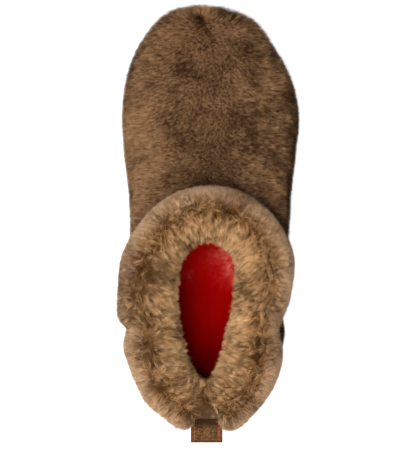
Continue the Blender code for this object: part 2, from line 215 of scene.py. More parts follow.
def pile_finish(name, root, middle, tip, deepest):
    """deepest is how far the darkest patches go towards the root's colour."""
    recipe = Recipe(name)
    along = recipe.stored("along")
    body = recipe.mix(recipe.stretch(along, *ROOT_ZONE), root, middle)
    whole = recipe.mix(recipe.stretch(along, *TIP_ZONE) * recipe.stored("shade"), body, tip)
    # The tone mixes towards the root's colour: patches of the fleece, and also painted shade and painted
    # light.
    colour = recipe.mix((1.0 - recipe.stored("tone")) * deepest, whole, root)
    return recipe.finish(base_color=colour, roughness=WOOL_ROUGHNESS, specular_ior_level=WOOL_SHINE)


BROWN_ROOT, BROWN, BROWN_TIP = (0.022, 0.009, 0.003), (0.21, 0.102, 0.043), (0.68, 0.42, 0.23)
WOOL_ROOT, WOOL, WOOL_TIP = (0.030, 0.011, 0.002), (0.25, 0.104, 0.030), (1.00, 0.66, 0.35)
RIM_ROOT, RIM, RIM_TIP = (0.038, 0.016, 0.005), (0.30, 0.165, 0.082), (0.80, 0.56, 0.37)
RED_ROOT, RED, RED_TIP = (0.27, 0.0, 0.0), (0.46, 0.0, 0.0), (0.60, 0.27, 0.21)

brown_pile = pile_finish("brown_pile", BROWN_ROOT, BROWN, BROWN_TIP, deepest=0.88)
tan_wool = pile_finish("tan_wool", WOOL_ROOT, WOOL, WOOL_TIP, deepest=0.90)
rim_pile = pile_finish("rim_pile", RIM_ROOT, RIM, RIM_TIP, deepest=0.90)
red_pile = pile_finish("red_pile", RED_ROOT, RED, RED_TIP, deepest=1.0)
print("pile finishes:", [m.name for m in (brown_pile, tan_wool, rim_pile, red_pile)])

# %% [markdown]
# All that grows on the boot is worked out with arrays, which are far quicker than loops over corners. A mesh
# gives its corners, their normals and its triangles. The spine is a line inside the foot: what faces away
# from it is the outside of the boot.

# %% Mesh helpers
SPINE = (Vector((0.0, -0.075, 0.055)), Vector((0.0, 0.090, 0.038)))


def mesh_arrays(mesh):
    """Corner places, their normals and the triangles of a mesh as arrays."""
    count = len(mesh.vertices)
    places, normals = np.empty(count * 3), np.empty(count * 3)
    mesh.vertices.foreach_get("co", places)
    mesh.vertex_normals.foreach_get("vector", normals)
    mesh.calc_loop_triangles()
    corners = np.empty(len(mesh.loop_triangles) * 3, dtype=np.int32)
    mesh.loop_triangles.foreach_get("vertices", corners)
    return places.reshape(-1, 3), normals.reshape(-1, 3), corners.reshape(-1, 3)


def away_from(places, start, end):
    """The line to each place from the nearest point of a straight core."""
    start, end = np.array(start), np.array(end)
    run = end - start
    share = np.clip((places - start) @ run / (run @ run), 0.0, 1.0)
    return places - (start + share[:, None] * run)


def unit(lines):
    return lines / np.maximum(np.linalg.norm(lines, axis=-1, keepdims=True), 1e-9)


print("a line made one long:", unit(np.array([3.0, 4.0, 0.0])))

# %% [markdown]
# Under the pile lies the hide. It could be modelled anew, but the solid from the frame already has the shape
# of the last. So its mesh is copied, welded and rounded. Later its furred side is moved in by the depth of
# the pile, so that strands which start on it end near the solid's own surface.

# %% Copies of the solids
WELD = 0.01 * MM
FLAT_PAIR, SQUARE_PAIR = 0.5, 0.8


def bake_modifiers(piece):
    """Replaces the mesh by what its modifiers make of it."""
    graph = bpy.context.evaluated_depsgraph_get()
    made = bpy.data.meshes.new_from_object(piece.evaluated_get(graph))
    made.name = piece.name
    piece.modifiers.clear()
    piece.data = made
    made.materials.clear()
    made.shade_smooth()
    return piece


def copy_of_solid(node, name, levels):
    """The node's mesh as an object of its own, welded and made smooth."""
    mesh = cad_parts[node].data.copy()
    mesh.name = name
    bm = bmesh.new()
    bm.from_mesh(mesh)
    bmesh.ops.remove_doubles(bm, verts=bm.verts, dist=WELD)
    bmesh.ops.join_triangles(
        bm, faces=bm.faces, angle_face_threshold=FLAT_PAIR, angle_shape_threshold=SQUARE_PAIR
    )
    bm.to_mesh(mesh)
    bm.free()
    piece = bpy.data.objects.new(name, mesh)
    bpy.context.scene.collection.objects.link(piece)
    if levels:
        piece.modifiers.new("round", "SUBSURF").levels = levels
    return bake_modifiers(piece)


def move_corners(piece, places):
    piece.data.vertices.foreach_set("co", places.ravel())
    piece.data.update()


for name in ("upper", "fur_cuff", "insole"):
    print(name, "has", len(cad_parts[name].data.vertices), "corners")

# %% [markdown] A worn boot is less even than its last. Small sideways pushes, each around its own spot,
# bring the hides to the outline in the photograph, which a new model of each hide would do no better.


# %% Nudges and declarations
def nudge(places, nudges):
    """Small sideways moves. A row has the x, y and reach of its spot and its own dx and dy, all in mm."""
    move = np.zeros_like(places)
    for x, y, reach, dx, dy in nudges:
        away = np.hypot(places[:, 0] - x * MM, places[:, 1] - y * MM)
        move[:, :2] += np.exp(-((away / (reach * MM)) ** 2))[:, None] * np.array([dx, dy]) * MM
    return move


def declare(piece, slot, *nodes):
    """Says what the piece rides on and hides the solids it stands for. slot is not used."""
    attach(piece, BODY)
    for node in nodes:
        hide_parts(node)
    print(piece.name, len(piece.data.polygons), "faces")


print("a nudge at its own spot, in mm:", nudge(np.zeros((1, 3)), [(0, 0, 10, 1, 2)])[0] / MM)

# %% [markdown]
# The hide of the foot hardly shows between the strands, but its colour does in the depths of the pile: nearly
# black, with lighter skin between the tufts. Noise of two sizes is enough for that, and no geometry is
# needed. Where it faces down the hide keeps its place, so that it still meets the sole.

# %% Hide of the upper
PILE_DEPTH = 4.5 * MM
SKIN_PATCH, SKIN_TUFT = 3 * MM, 0.8 * MM
SKIN_RELIEF = 0.6 * MM
HIDE_ROUGHNESS, HIDE_SHINE = 0.95, 0.1
BROWN_SKIN = (0.10, 0.048, 0.020)
DOWN_LIMIT = 1.3
HIDE_NUDGES = (
    (-26, 130, 14, -1.2, 1.4), (26, 130, 14, 1.8, 1.6), (-50, -8, 22, -1.8, 0), (-52, 30, 22, -0.7, 0),
    (50, -8, 22, 2.8, 0), (52, 30, 22, 1.2, 0), (57, 64, 20, 1.6, 0), (-57, 60, 20, -0.7, 0),
    (43, -72, 14, 6.0, 0),
)


def hide_finish(name, dark, light):
    recipe = Recipe(name)
    patches = recipe.grain(SKIN_PATCH, 4.0, 0.6)
    tufts = recipe.grain(SKIN_TUFT, 2.0, 0.6)
    colour = recipe.mix(recipe.stretch(patches, 0.3, 0.7), dark, light)
    relief = recipe.bump(tufts, SKIN_RELIEF)
    return recipe.finish(
        base_color=colour, roughness=HIDE_ROUGHNESS, specular_ior_level=HIDE_SHINE, normal=relief
    )


upper_hide = copy_of_solid("upper", "upper_hide", 1)
places, normals, _ = mesh_arrays(upper_hide.data)
outside = (away_from(places, *SPINE) * normals).sum(1) > 0
standing = np.clip(DOWN_LIMIT - np.abs(normals[:, 2]) * (normals[:, 2] < 0), 0.0, 1.0)
places = places + nudge(places, HIDE_NUDGES)
move_corners(upper_hide, places - normals * (PILE_DEPTH * outside * standing)[:, None])
upper_hide.data.materials.append(hide_finish("brown_hide", BROWN_ROOT, BROWN_SKIN))
declare(upper_hide, "brown_sheepskin", "upper")

# %% [markdown]
# Real pile is thousands of hairs that lean together in small tufts. Blender can grow hair, but a part of a
# library needs plain meshes, so each strand is a narrow blade, and all are made in one mesh from arrays.
# First come the places: random points, spread by the area of the triangles and by how thickly each part is
# covered. Soft noise stirs the pile, and each strand finds the nearest one that leads a tuft.


# %% Where strands start
def scatter(piece, count, weight, draw):
    """Random places on a mesh with their normals. weight says how thickly each triangle is covered."""
    places, normals, corners = mesh_arrays(piece.data)
    middle = places[corners].mean(1)
    facing = unit(normals[corners].mean(1))
    edge_a = places[corners[:, 1]] - places[corners[:, 0]]
    edge_b = places[corners[:, 2]] - places[corners[:, 0]]
    share = np.linalg.norm(np.cross(edge_a, edge_b), axis=1) * weight(middle, facing)
    picked = draw.choice(len(corners), count, p=share / share.sum())
    a, b = draw.random(count), draw.random(count)
    over = a + b > 1
    a[over], b[over] = 1 - a[over], 1 - b[over]
    mixing = np.stack([1 - a - b, a, b], axis=1)[..., None]
    return (places[corners[picked]] * mixing).sum(1), unit((normals[corners[picked]] * mixing).sum(1))


def soft_noise(places, size, seed):
    """Soft random lines, three numbers from about -1 to 1 for each place."""
    shift = Vector((seed * 7.1, seed * 3.7, seed * 1.3))
    return np.array([noise.noise_vector(Vector(p) / size + shift) for p in places])


def flatten(lines, normals):
    """The part of each line that lies in the surface, made one long."""
    return unit(lines - normals * (lines * normals).sum(1, keepdims=True))


def tuft_leaders(roots, tuft, draw):
    """For each strand, the number of the strand that leads its tuft."""
    leaders = draw.choice(len(roots), max(len(roots) // tuft, 1), replace=False)
    tree = KDTree(len(leaders))
    for index, place in enumerate(roots[leaders]):
        tree.insert(place, index)
    tree.balance()
    return leaders[[tree.find(place)[1] for place in roots]]


print("soft noise at one place:", soft_noise(np.zeros((1, 3)), 1.0, 1).round(2))

# %% [markdown]
# A strand leans along the comb, bends, waves a little, and is drawn towards the strand that leads its tuft.
# Whole tufts stray from the comb and single strands from their tuft, which keeps the fleece from looking like
# grass. A loop over the strands would take minutes, so they are all worked out together.

# %% How strands grow
LENGTH_SPREAD = (0.80, 1.10)
WIDTH_SPREAD = (0.7, 1.25)
LEAN_SPREAD = 0.16
CURL_TURNS = 1.1
CURL_HEIGHT = 0.6
GATHER = 1.3
TUFT_SHADE, STRAND_SHADE = 0.55, 0.45


def turn_about(lines, normals, angle):
    """Turns each line in its surface by its own angle."""
    return lines * np.cos(angle)[:, None] + np.cross(normals, lines) * np.sin(angle)[:, None]


def grow(
    name, roots, normals, comb, draw, length, lean, tone, width, tuft, pull, stray,
    fray=0.3, uneven=0.15, mottle=0.15, droop=0.08, steps=1, wave=0.0, pale=1.0,
):
    """Strands as one mesh. length, lean, tone, pull, stray, wave and pale may differ from strand to strand.

    stray is how far a whole tuft turns from the comb and fray how far a strand turns from its tuft. mottle is
    the spread of tone from tuft to tuft and uneven the spread from strand to strand. pale is how bleached the
    tips are, and steps is the number of rows of faces.
    """
    count = len(roots)
    own = tuft_leaders(roots, tuft, draw)
    astray = (stray * draw.normal(0.0, 1.0, count))[own] + fray * draw.normal(0.0, 1.0, count)
    comb = turn_about(comb, normals, astray)
    length = length * draw.uniform(*LENGTH_SPREAD, count)
    lean = lean + draw.normal(0.0, LEAN_SPREAD, count)
    share = np.linspace(0.0, 1.0, steps + 1)
    bend = droop * share ** 2
    rise = share * np.cos(lean)[:, None] - bend
    run = share * np.sin(lean)[:, None] + bend
    line = normals[:, None] * rise[..., None] + comb[:, None] * run[..., None]
    line = line * length[:, None, None]
    side = unit(np.cross(comb, normals))
    turn = draw.uniform(0, 2 * math.pi, count)[own][:, None] + 2 * math.pi * CURL_TURNS * share
    swing = side[own][:, None] * np.sin(turn)[..., None]
    swing = swing + normals[own][:, None] * (CURL_HEIGHT * np.cos(turn))[..., None]
    line = line + swing * ((wave * np.ones(count))[:, None] * np.sqrt(share))[..., None]
    points = roots[:, None] + line
    drawn = (pull * np.ones(count))[:, None] * share ** GATHER
    points = points + (points[own] - points) * drawn[..., None]
    shade = pale * (TUFT_SHADE * draw.random(count)[own] + STRAND_SHADE * draw.random(count))
    tone = tone + mottle * draw.normal(0.0, 1.0, count)[own] + uneven * draw.normal(0.0, 1.0, count)
    widths = width * draw.uniform(*WIDTH_SPREAD, count)
    return blades(name, points, normals, widths, shade, np.clip(tone, 0.0, 1.0), draw)


forwards, upwards = np.array([[0.0, 1.0, 0.0]]), np.array([[0.0, 0.0, 1.0]])
print("forwards after a quarter turn:", turn_about(forwards, upwards, np.array([math.pi / 2])).round(2))

# %% [markdown]
# A round hair would need many faces. A flat blade with two edges that meet at its tip looks the same from
# where the boot is seen. Its shading normals come from the hide under it and not from the flat of the blade,
# so the fleece takes the light as one soft surface.

# %% Blades
BLADE_ROLL = 0.5
BLADE_TAPER = 0.75
HIDE_SHARE, BLADE_SHARE = 0.35, 0.65


def blades(name, points, normals, widths, shade, tone, draw):
    """Gives each line of points two edges that meet at its tip."""
    count, rows = points.shape[:2]
    heading = unit(np.gradient(points, axis=1))
    facing = unit(normals[:, None] - heading * (normals[:, None] * heading).sum(2, keepdims=True))
    roll = draw.normal(0.0, BLADE_ROLL, count)[:, None, None]
    across = np.cross(heading, facing) * np.cos(roll) + facing * np.sin(roll)
    share = np.linspace(0.0, 1.0, rows)
    half = (widths[:, None] / 2 * (1.0 - BLADE_TAPER * share))[..., None]
    edges = np.stack([points - across * half, points + across * half], axis=2)
    corners = np.concatenate([edges[:, :-1].reshape(count, -1, 3), points[:, -1:]], axis=1)
    per_strand = corners.shape[1]
    low = 2 * np.arange(rows - 2)
    quads = np.stack([low, low + 1, low + 3, low + 2], axis=1).ravel()
    loops = np.append(quads, [per_strand - 3, per_strand - 2, per_strand - 1])
    sizes = np.tile([4] * (rows - 2) + [3], count)
    mesh = bpy.data.meshes.new(name)
    mesh.vertices.add(count * per_strand)
    mesh.vertices.foreach_set("co", corners.ravel())
    first = np.arange(count)[:, None] * per_strand
    mesh.loops.add(count * len(loops))
    mesh.loops.foreach_set("vertex_index", (first + loops).ravel().astype(np.int32))
    mesh.polygons.add(len(sizes))
    mesh.polygons.foreach_set("loop_start", (np.cumsum(sizes) - sizes).astype(np.int32))
    mesh.update(calc_edges=True)
    along = np.tile(np.append(np.repeat(share[:-1], 2), 1.0), count)
    stored = {"along": along, "shade": np.repeat(shade, per_strand), "tone": np.repeat(tone, per_strand)}
    for label, values in stored.items():
        mesh.attributes.new(label, "FLOAT", "POINT").data.foreach_set("value", values)
    mesh.shade_smooth()
    soft = unit(HIDE_SHARE * normals[:, None] + BLADE_SHARE * facing)
    soft = np.concatenate([np.repeat(soft[:, :-1], 2, axis=1), soft[:, -1:]], axis=1)
    mesh.normals_split_custom_set_from_vertices(soft.reshape(-1, 3))
    piece = bpy.data.objects.new(name, mesh)
    bpy.context.scene.collection.objects.link(piece)
    return piece


for steps in (1, 2):
    print("a strand with", steps, "steps has", 2 * steps - 1, "triangles")

# %% [markdown]
# The foot of the boot is one plush skin, clipped short. Its pile parts at a whorl on the tip of the toe, lies
# back along the middle and outwards on both sides, and stirs a little everywhere. Combing by hand would give
# the same, but a formula for the comb serves the vamp and the sides alike, so no line shows between them.

# %% Comb of the plush
WHORL = np.array([-6.0 * MM, 126.0 * MM])
WHORL_REACH, WHORL_CORE, WHORL_SHARE = 16 * MM, 6 * MM, 0.5
FLANK = 42 * MM
OUTWARDS, BACKWARDS, DOWNWARDS = 0.9, -0.65, -0.5
STIR, STIR_SIZE = 0.45, 12 * MM
FULL_FLOW, LEAST_FLAT = 0.6, 0.8


def plush_comb(roots, normals):
    """Which way the pile lies, and how flat: it stands up where it parts, so no bare line shows."""
    across = OUTWARDS * np.clip(roots[:, 0] / FLANK, -1.0, 1.0)
    back = BACKWARDS * np.ones(len(roots))
    flow = np.stack([across, back, DOWNWARDS * (1.0 - normals[:, 2])], axis=1)
    from_whorl = np.zeros_like(roots)
    from_whorl[:, :2] = roots[:, :2] - WHORL
    away = np.linalg.norm(from_whorl, axis=1)[:, None]
    near = WHORL_SHARE * np.exp(-((away / WHORL_REACH) ** 2))
    flow = flow * (1 - near) + from_whorl / np.maximum(away, WHORL_CORE) * near
    flow = flow + STIR * soft_noise(roots, STIR_SIZE, 3)
    strength = np.linalg.norm(np.cross(flow, normals), axis=1)
    return flatten(flow, normals), np.clip(strength / FULL_FLOW, LEAST_FLAT, 1.0)


print("the whorl lies at", WHORL)

# %% [markdown]
# Plush looks mottled: where it has been stroked up one sees into it, and it is dark. Broad and small patches
# of noise give the mottling. A painted map would fix every spot, but only the clear ones need that. They are
# rows of a table, dark with a positive depth and pale with a negative one. Some are the nap's own mottling,
# and some are painted shade and painted light: a lighter toe, a dark shaft at the right notch of the cuff.
# More painted shade darkens the pile towards the right, on both flanks where they turn down, and most of all
# at the right edge, where the skin turns down into the shade.

# %% Tone and painted shade of the plush
BASE_TONE, PATCH_TONE = 0.82, 0.38
BROAD_PATCH, SMALL_PATCH = 14 * MM, 5 * MM
SIDE_SHADE, SIDE_WIDTH = 0.40, 50 * MM
EDGE_SHADE, EDGE_WIDTH = 1.45, 5.5 * MM
TOE_END, TOE_BLEND = 100 * MM, 35 * MM
# Spots in mm: x, y, reach and depth; partly the nap's own mottling, partly painted shade and painted light.
FOOT_MOTTLE_SHADE_AND_LIGHT = (
    (-14, 97, 8, 0.65), (-3, 91, 6, 0.55), (-24, 61, 9, 0.45), (-14, 47, 7, 0.65), (24, 112, 8, 0.30),
    (23, 66, 13, 0.28), (30, 46, 11, 0.35), (-20, 26, 9, 0.45), (44, 76, 8, 0.30), (-30, 88, 8, 0.25),
    (10, 100, 12, -0.15), (5, 62, 9, -0.20), (-7, 123, 9, -0.30), (13, 132, 9, -0.55), (30, 123, 9, -0.45),
    (-20, 131, 9, -0.55), (-36, 96, 10, 0.36), (-46, 80, 10, 0.20), (36, 102, 9, 0.10), (4, 24, 14, -0.08),
    (46, -72, 14, 1.0), (-40, 108, 8, 0.22), (-46, 50, 12, 0.10), (-4, 119, 13, -0.40),
    (-5, 136, 5, 0.25), (5, 132, 6, -0.30), (18, 127, 7, -0.30),
)


def hollow(places, spots):
    """How dark each place is under a list of spots, seen from above: x, y and reach in mm, and depth."""
    dark = np.zeros(len(places))
    for x, y, reach, depth in spots:
        away = np.hypot(places[:, 0] - x * MM, places[:, 1] - y * MM)
        dark += depth * np.exp(-((away / (reach * MM)) ** 2))
    return dark


EDGE_Y = np.array([-10, 22, 42, 66, 81, 100]) * MM
EDGE_X = np.array([51, 53, 55, 57.5, 55.7, 51]) * MM


def plush_tone_and_shade(roots, normals):
    """How light the pile looks: its patches, less the hollows and painted shade on the right and the sides."""
    broad = soft_noise(roots, BROAD_PATCH, 5)[:, 0]
    small = soft_noise(roots, SMALL_PATCH, 6)[:, 0]
    tone = BASE_TONE + PATCH_TONE * broad + PATCH_TONE * small
    # Painted shade: the pile darkens towards the right, away from the lamps.
    tone -= SIDE_SHADE * np.clip(roots[:, 0] / SIDE_WIDTH, -0.25, 1.0)
    # Painted shade along the right edge, where the skin turns down out of the light.
    behind_toe = np.clip((TOE_END - roots[:, 1]) / TOE_BLEND, 0.0, 1.0)
    from_edge = np.clip(np.interp(roots[:, 1], EDGE_Y, EDGE_X) - roots[:, 0], 0.0, 1.0)
    tone -= EDGE_SHADE * behind_toe * np.exp(-from_edge / EDGE_WIDTH)
    # Painted shade on the left flank, where it turns down.
    tone -= SIDE_SHADE * np.clip((-normals[:, 0] - 0.40) / 0.55, 0.0, 1.0)
    return tone - hollow(roots, FOOT_MOTTLE_SHADE_AND_LIGHT)


print(len(FOOT_MOTTLE_SHADE_AND_LIGHT), "hollows and pale spots on the foot")

# %% [markdown]
# Now the plush can grow. Strands start only on the furred outside, a little more thickly on top, where the
# boot is looked at, and not under the pull loop, which is sewn flat on the back. They get shorter towards the
# sole. The vamp and the sides are two meshes, so that neither gets too heavy to handle.

# %% Plush over the foot
PLUSH_LENGTH = 6.6 * MM
PLUSH_WIDTH = 0.30 * MM
PLUSH_BORDER = 5 * MM
PLUSH_LOW, PLUSH_TOP, SOLE_BLEND = 16 * MM, 99 * MM, 16 * MM
STEEPEST_DOWN = -0.72
LOOP_LOW, LOOP_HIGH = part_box("pull_loop")
LOOP_MIDDLE = (LOOP_LOW.x + LOOP_HIGH.x) / 2
LOOP_HALF = (LOOP_HIGH.x - LOOP_LOW.x) / 2
LOOP_MARGIN = 1.5 * MM
BACK_WALL, SEAM_LOW = -100 * MM, 78 * MM


def under_loop(places):
    """True where the back wall lies just under the pull loop."""
    near = np.abs(places[:, 0] - LOOP_MIDDLE) < LOOP_HALF + LOOP_MARGIN
    return near & (places[:, 1] < BACK_WALL) & (places[:, 2] > SEAM_LOW)


def furred_outside(middle, facing):
    """1 where the upper's outside has pile, and 0 elsewhere."""
    out = (away_from(middle, *SPINE) * facing).sum(1) > 0
    under = (facing[:, 2] > STEEPEST_DOWN) & (middle[:, 2] > PLUSH_LOW)
    return (out & under & (middle[:, 2] < PLUSH_TOP) & ~under_loop(middle)).astype(float)


def plush(name, front, count, seed):
    """The strands in front of the border between vamp and sides, or behind it."""
    draw = np.random.default_rng(seed)

    def weight(middle, facing):
        side = (middle[:, 1] > PLUSH_BORDER) if front else (middle[:, 1] <= PLUSH_BORDER)
        return furred_outside(middle, facing) * side * (0.6 + 0.7 * np.clip(facing[:, 2], 0, 1))

    roots, normals = scatter(upper_hide, count, weight, draw)
    comb, flat = plush_comb(roots, normals)
    tone = plush_tone_and_shade(roots, normals)
    low = np.clip((roots[:, 2] - 18 * MM) / SOLE_BLEND, 0.35, 1.0)
    length = PLUSH_LENGTH * low * (0.92 + 0.12 * tone)
    steep = np.clip(1.0 - normals[:, 2], 0.0, 1.0)
    lean = (0.45 + 0.35 * steep) * flat
    pull = 0.42 * (1.0 - 0.6 * steep)
    stray = 0.30 * (1.0 - 0.5 * steep)
    piece = grow(
        name, roots, normals, comb, draw, length, lean, tone,
        width=PLUSH_WIDTH, tuft=7, pull=pull, stray=stray, mottle=0.28,
    )
    piece.data.materials.append(brown_pile)
    declare(piece, "brown_sheepskin", "upper")


plush("vamp_plush", True, 190_000, 11)
plush("quarter_plush", False, 130_000, 12)

# %% [markdown]
# The cuff is a fat roll of wool that stands off the rim in locks. Its solid shows the locks as stiff forms,
# good for a frame but too hard as the ground of a fleece. A new roll could be modelled, but it would lose
# the measured shape. So the copy is rebuilt from small cubes, crumbs that this cuts off are dropped, and the
# rest is smoothed, most of all beside the opening.

# %% The roll of the cuff
OPENING_CORE = (Vector((-3.0 * MM, -0.088, 0.115)), Vector((-2.0 * MM, -0.034, 0.115)))
EVEN_CUBE = 2.2 * MM
CALM_STEPS, CALM_STEPS_INSIDE = 14, 40
INSIDE_REACH, INSIDE_BLEND = 33 * MM, 6 * MM


def drop_crumbs(piece):
    """Keeps only the largest island of a mesh, because a remesh can cut off the thin tip of a lock."""
    bm = bmesh.new()
    bm.from_mesh(piece.data)
    waiting, islands = set(bm.verts), []
    while waiting:
        island, edge = set(), {waiting.pop()}
        while edge:
            corner = edge.pop()
            island.add(corner)
            edge |= {side.other_vert(corner) for side in corner.link_edges} - island
        waiting -= island
        islands.append(list(island))
    islands.sort(key=len)
    crumbs = [corner for island in islands[:-1] for corner in island]
    bmesh.ops.delete(bm, geom=crumbs, context="VERTS")
    bm.to_mesh(piece.data)
    bm.free()
    print(piece.name, "lost", len(crumbs), "crumb corners")


def beside_opening(places):
    """1 next to the opening, falling to 0 at the middle of the roll."""
    away = np.linalg.norm(away_from(places, *OPENING_CORE)[:, :2], axis=1)
    return np.clip((INSIDE_REACH - away) / INSIDE_BLEND, 0.0, 1.0)


cuff_roll = copy_of_solid("fur_cuff", "cuff_roll", 0)
remesh = cuff_roll.modifiers.new("even", "REMESH")
remesh.mode = "VOXEL"
remesh.voxel_size = EVEN_CUBE
bake_modifiers(cuff_roll)
drop_crumbs(cuff_roll)
inner = cuff_roll.vertex_groups.new(name="inner")
for index, share in enumerate(beside_opening(mesh_arrays(cuff_roll.data)[0])):
    inner.add([index], float(share), "REPLACE")
for label, iterations, group in (("calm", CALM_STEPS, ""), ("calm_inner", CALM_STEPS_INSIDE, "inner")):
    calm = cuff_roll.modifiers.new(label, "SMOOTH")
    calm.iterations = iterations
    calm.vertex_group = group
bake_modifiers(cuff_roll)
print("the roll has", len(cuff_roll.data.vertices), "corners")

# %% [markdown]
# The roll is sunk by the depth of its wool and pushed to the outline of the photograph. At the back the pull
# loop comes out from under it, so there the pushes fade and the roll is pressed in a little instead. Without
# that the wool would swallow the loop.

# %% Hide of the cuff
WOOL_DEPTH = 5.0 * MM
LOOP_DENT = 4.5 * MM
LOOP_SIDE_BLEND = 2.5 * MM
LOOP_START, LOOP_BLEND = -105 * MM, 10 * MM
TAN_SKIN = (0.20, 0.10, 0.038)
CUFF_NUDGES = (
    (-19, -36, 12, 3.0, 0), (15, -40, 12, -1.8, 0), (8, -14, 8, 0, -1.5), (10, -86, 11, -3.4, 0),
    (-15, -85, 10, 2.2, 0), (-56, -56, 9, -3.5, 0), (-54, -68, 3.5, 3.5, 0), (-54, -79, 8, -2.8, 0),
    (47, -68, 6, -3.0, 0), (-19, -123, 11, -0.3, -4.0), (15, -123, 11, 0.3, -4.8), (0, 21, 20, 0, -1.0),
    (-9, -95, 7, 2.4, 0.5), (6, -95, 7, -1.6, 0.5), (-12, -20, 7, 1.5, -1.5), (-50, -60, 4.5, -3.5, 0),
    (-49, -67, 3, 1.0, 0), (-1, -99, 5, 0, -5.5), (-54, -20, 10, -1.5, 0), (53, -20, 11, 2.2, 0),
    (44, -72, 8, -2.0, 0), (-35, -112, 8, -1.5, -0.5), (-12, -20, 6, 1.0, -0.5), (-26, -124, 6, 1.2, 1.3),
    (24, -124, 6, -1.0, 1.3),
)


def near_loop(places):
    """1 over the pull loop at the back of the cuff, falling to 0 beside it."""
    beside = np.clip((np.abs(places[:, 0] - LOOP_MIDDLE) - LOOP_HALF) / LOOP_SIDE_BLEND, 0.0, 1.0)
    behind = np.clip((LOOP_START - places[:, 1]) / LOOP_BLEND, 0.0, 1.0)
    return (1.0 - beside) * behind


places, normals, _ = mesh_arrays(cuff_roll.data)
places = places - normals * WOOL_DEPTH
places = places + nudge(places, CUFF_NUDGES) * (1.0 - near_loop(places))[:, None]
places[:, 1] += LOOP_DENT * near_loop(places)
move_corners(cuff_roll, places)
cuff_roll.data.materials.append(hide_finish("tan_hide", WOOL_ROOT, TAN_SKIN))
declare(cuff_roll, "tan_wool", "fur_cuff")

# %% [markdown]
# An angle round the roll, worked out from the normals, says what grows where: 0 is the top, a right angle is
# the outside and minus a right angle faces the foot. Painted maps could say the same, but an angle needs no
# drawing and follows the roll wherever it goes.


# %% Round the roll
def round_the_roll(places, normals):
    """The angle round the roll's section in degrees, and the way outwards, in the surface."""
    out = away_from(places, *OPENING_CORE)
    out[:, 2] = 0.0
    out = unit(out)
    angle = np.arctan2((normals * out).sum(1), normals[:, 2])
    outwards = out * np.cos(angle)[:, None] - np.array([0, 0, 1.0]) * np.sin(angle)[:, None]
    return np.degrees(angle), outwards


angles = round_the_roll(*mesh_arrays(cuff_roll.data)[:2])[0]
print("angles round the roll:", round(angles.min()), "to", round(angles.max()))

# %% [markdown]
# Where the wool parts, its depths show dark, and where a lock catches the light it is pale. Each row of this
# table is such a spot, measured in the photograph: a positive depth is painted shade, a negative one painted
# light. Painted shade also lines the left edge of the opening, the right notch and the wool over the pull
# loop, and painted light lies on the front of the rim. Noise alone would part the wool in the wrong places.

# %% Painted shade and light of the cuff
CUFF_PAINTED_SHADE_AND_LIGHT = (
    (-10, -7, 6, 0.45), (-20, -10, 6, 0.50), (1, -3, 4, 0.35), (9, 6, 5, 0.50), (20, 7.5, 6, 0.50),
    (4, 10, 4, 0.30), (-28, -8, 6, 0.30), (-38, -29, 8, 0.50), (-32, -37, 5, 0.35), (-41, -57, 8, 0.55),
    (-35, -19, 5, 0.30), (31, -32, 6, 0.55), (34, -41, 6, 0.45), (27, -45, 6, 0.35), (36, -56, 6, 0.40),
    (50, -25, 6, 0.45), (-33, -69, 6, 0.45), (-38, -83, 7, 0.35), (-21, -99, 7, 0.50), (-10, -113, 6, 0.55),
    (-5, -118, 6, 0.45), (31, -84, 7, 0.50), (21, -110, 7, 0.45), (8, -116, 6, 0.40), (46, -68, 7, 0.60),
    (-31, -103, 7, 0.35), (-53, -38, 16, 0.66), (-52, -66, 8, 0.35), (-2, -109, 12, 0.50), (-2, -121, 7, 0.30),
    (0, -6, 12, 0.32), (27, -38, 5, 0.45), (-43, -42, 7, 0.16), (8, -121, 5, 0.25), (-12, -120, 5, 0.20),
    (-17, -40, 3.5, 0.6), (-17, -50, 3.5, 0.6), (-16, -60, 3.5, 0.6), (-14, -72, 3.5, 0.6), (-2, -126, 6, 0.5),
    (24, -74, 9, 0.10), (0, 24, 16, -0.35), (26, 12, 12, -0.15), (20, -48, 8, 0.10), (-24, -76, 8, -0.20),
    (-26, -43, 8, -0.60), (-25, -55, 8, -0.55), (45, -22, 6, -0.20), (44, -41, 7, -0.25),
    (-34, -118, 10, -0.25), (20, -123, 9, -0.20), (34, -100, 9, -0.20), (-51, -75, 6, -0.20),
    (-39, -42, 8, -0.25), (37, -38, 6, -0.20), (29, -92, 9, -0.10), (51, -30, 9, 0.10),
)
print(len(CUFF_PAINTED_SHADE_AND_LIGHT), "dark and pale spots on the cuff")

# %% [markdown]
# The fleece is the same kind of strand in three coverings. Outside lies short pale velvet, square to the rim.
# On the crown the wool is long, curly and tangled and its depths are dark. Inside it is combed down into the
# boot. A table gives the growth at a few angles, and all between is blended, so no covering ends in a line.

# %% Fleece of the cuff
HEELWARDS = np.array([0.0, -0.5, 0.0])
ANGLE_SPREAD = 7.0
LOCK_STIR, LOCK_SIZE = 0.35, 12 * MM
WOOL_STIR, WOOL_PATCH = 0.30, 8 * MM
SHORTER_AT_LOOP, OUTER_ANGLE = 0.22, 20


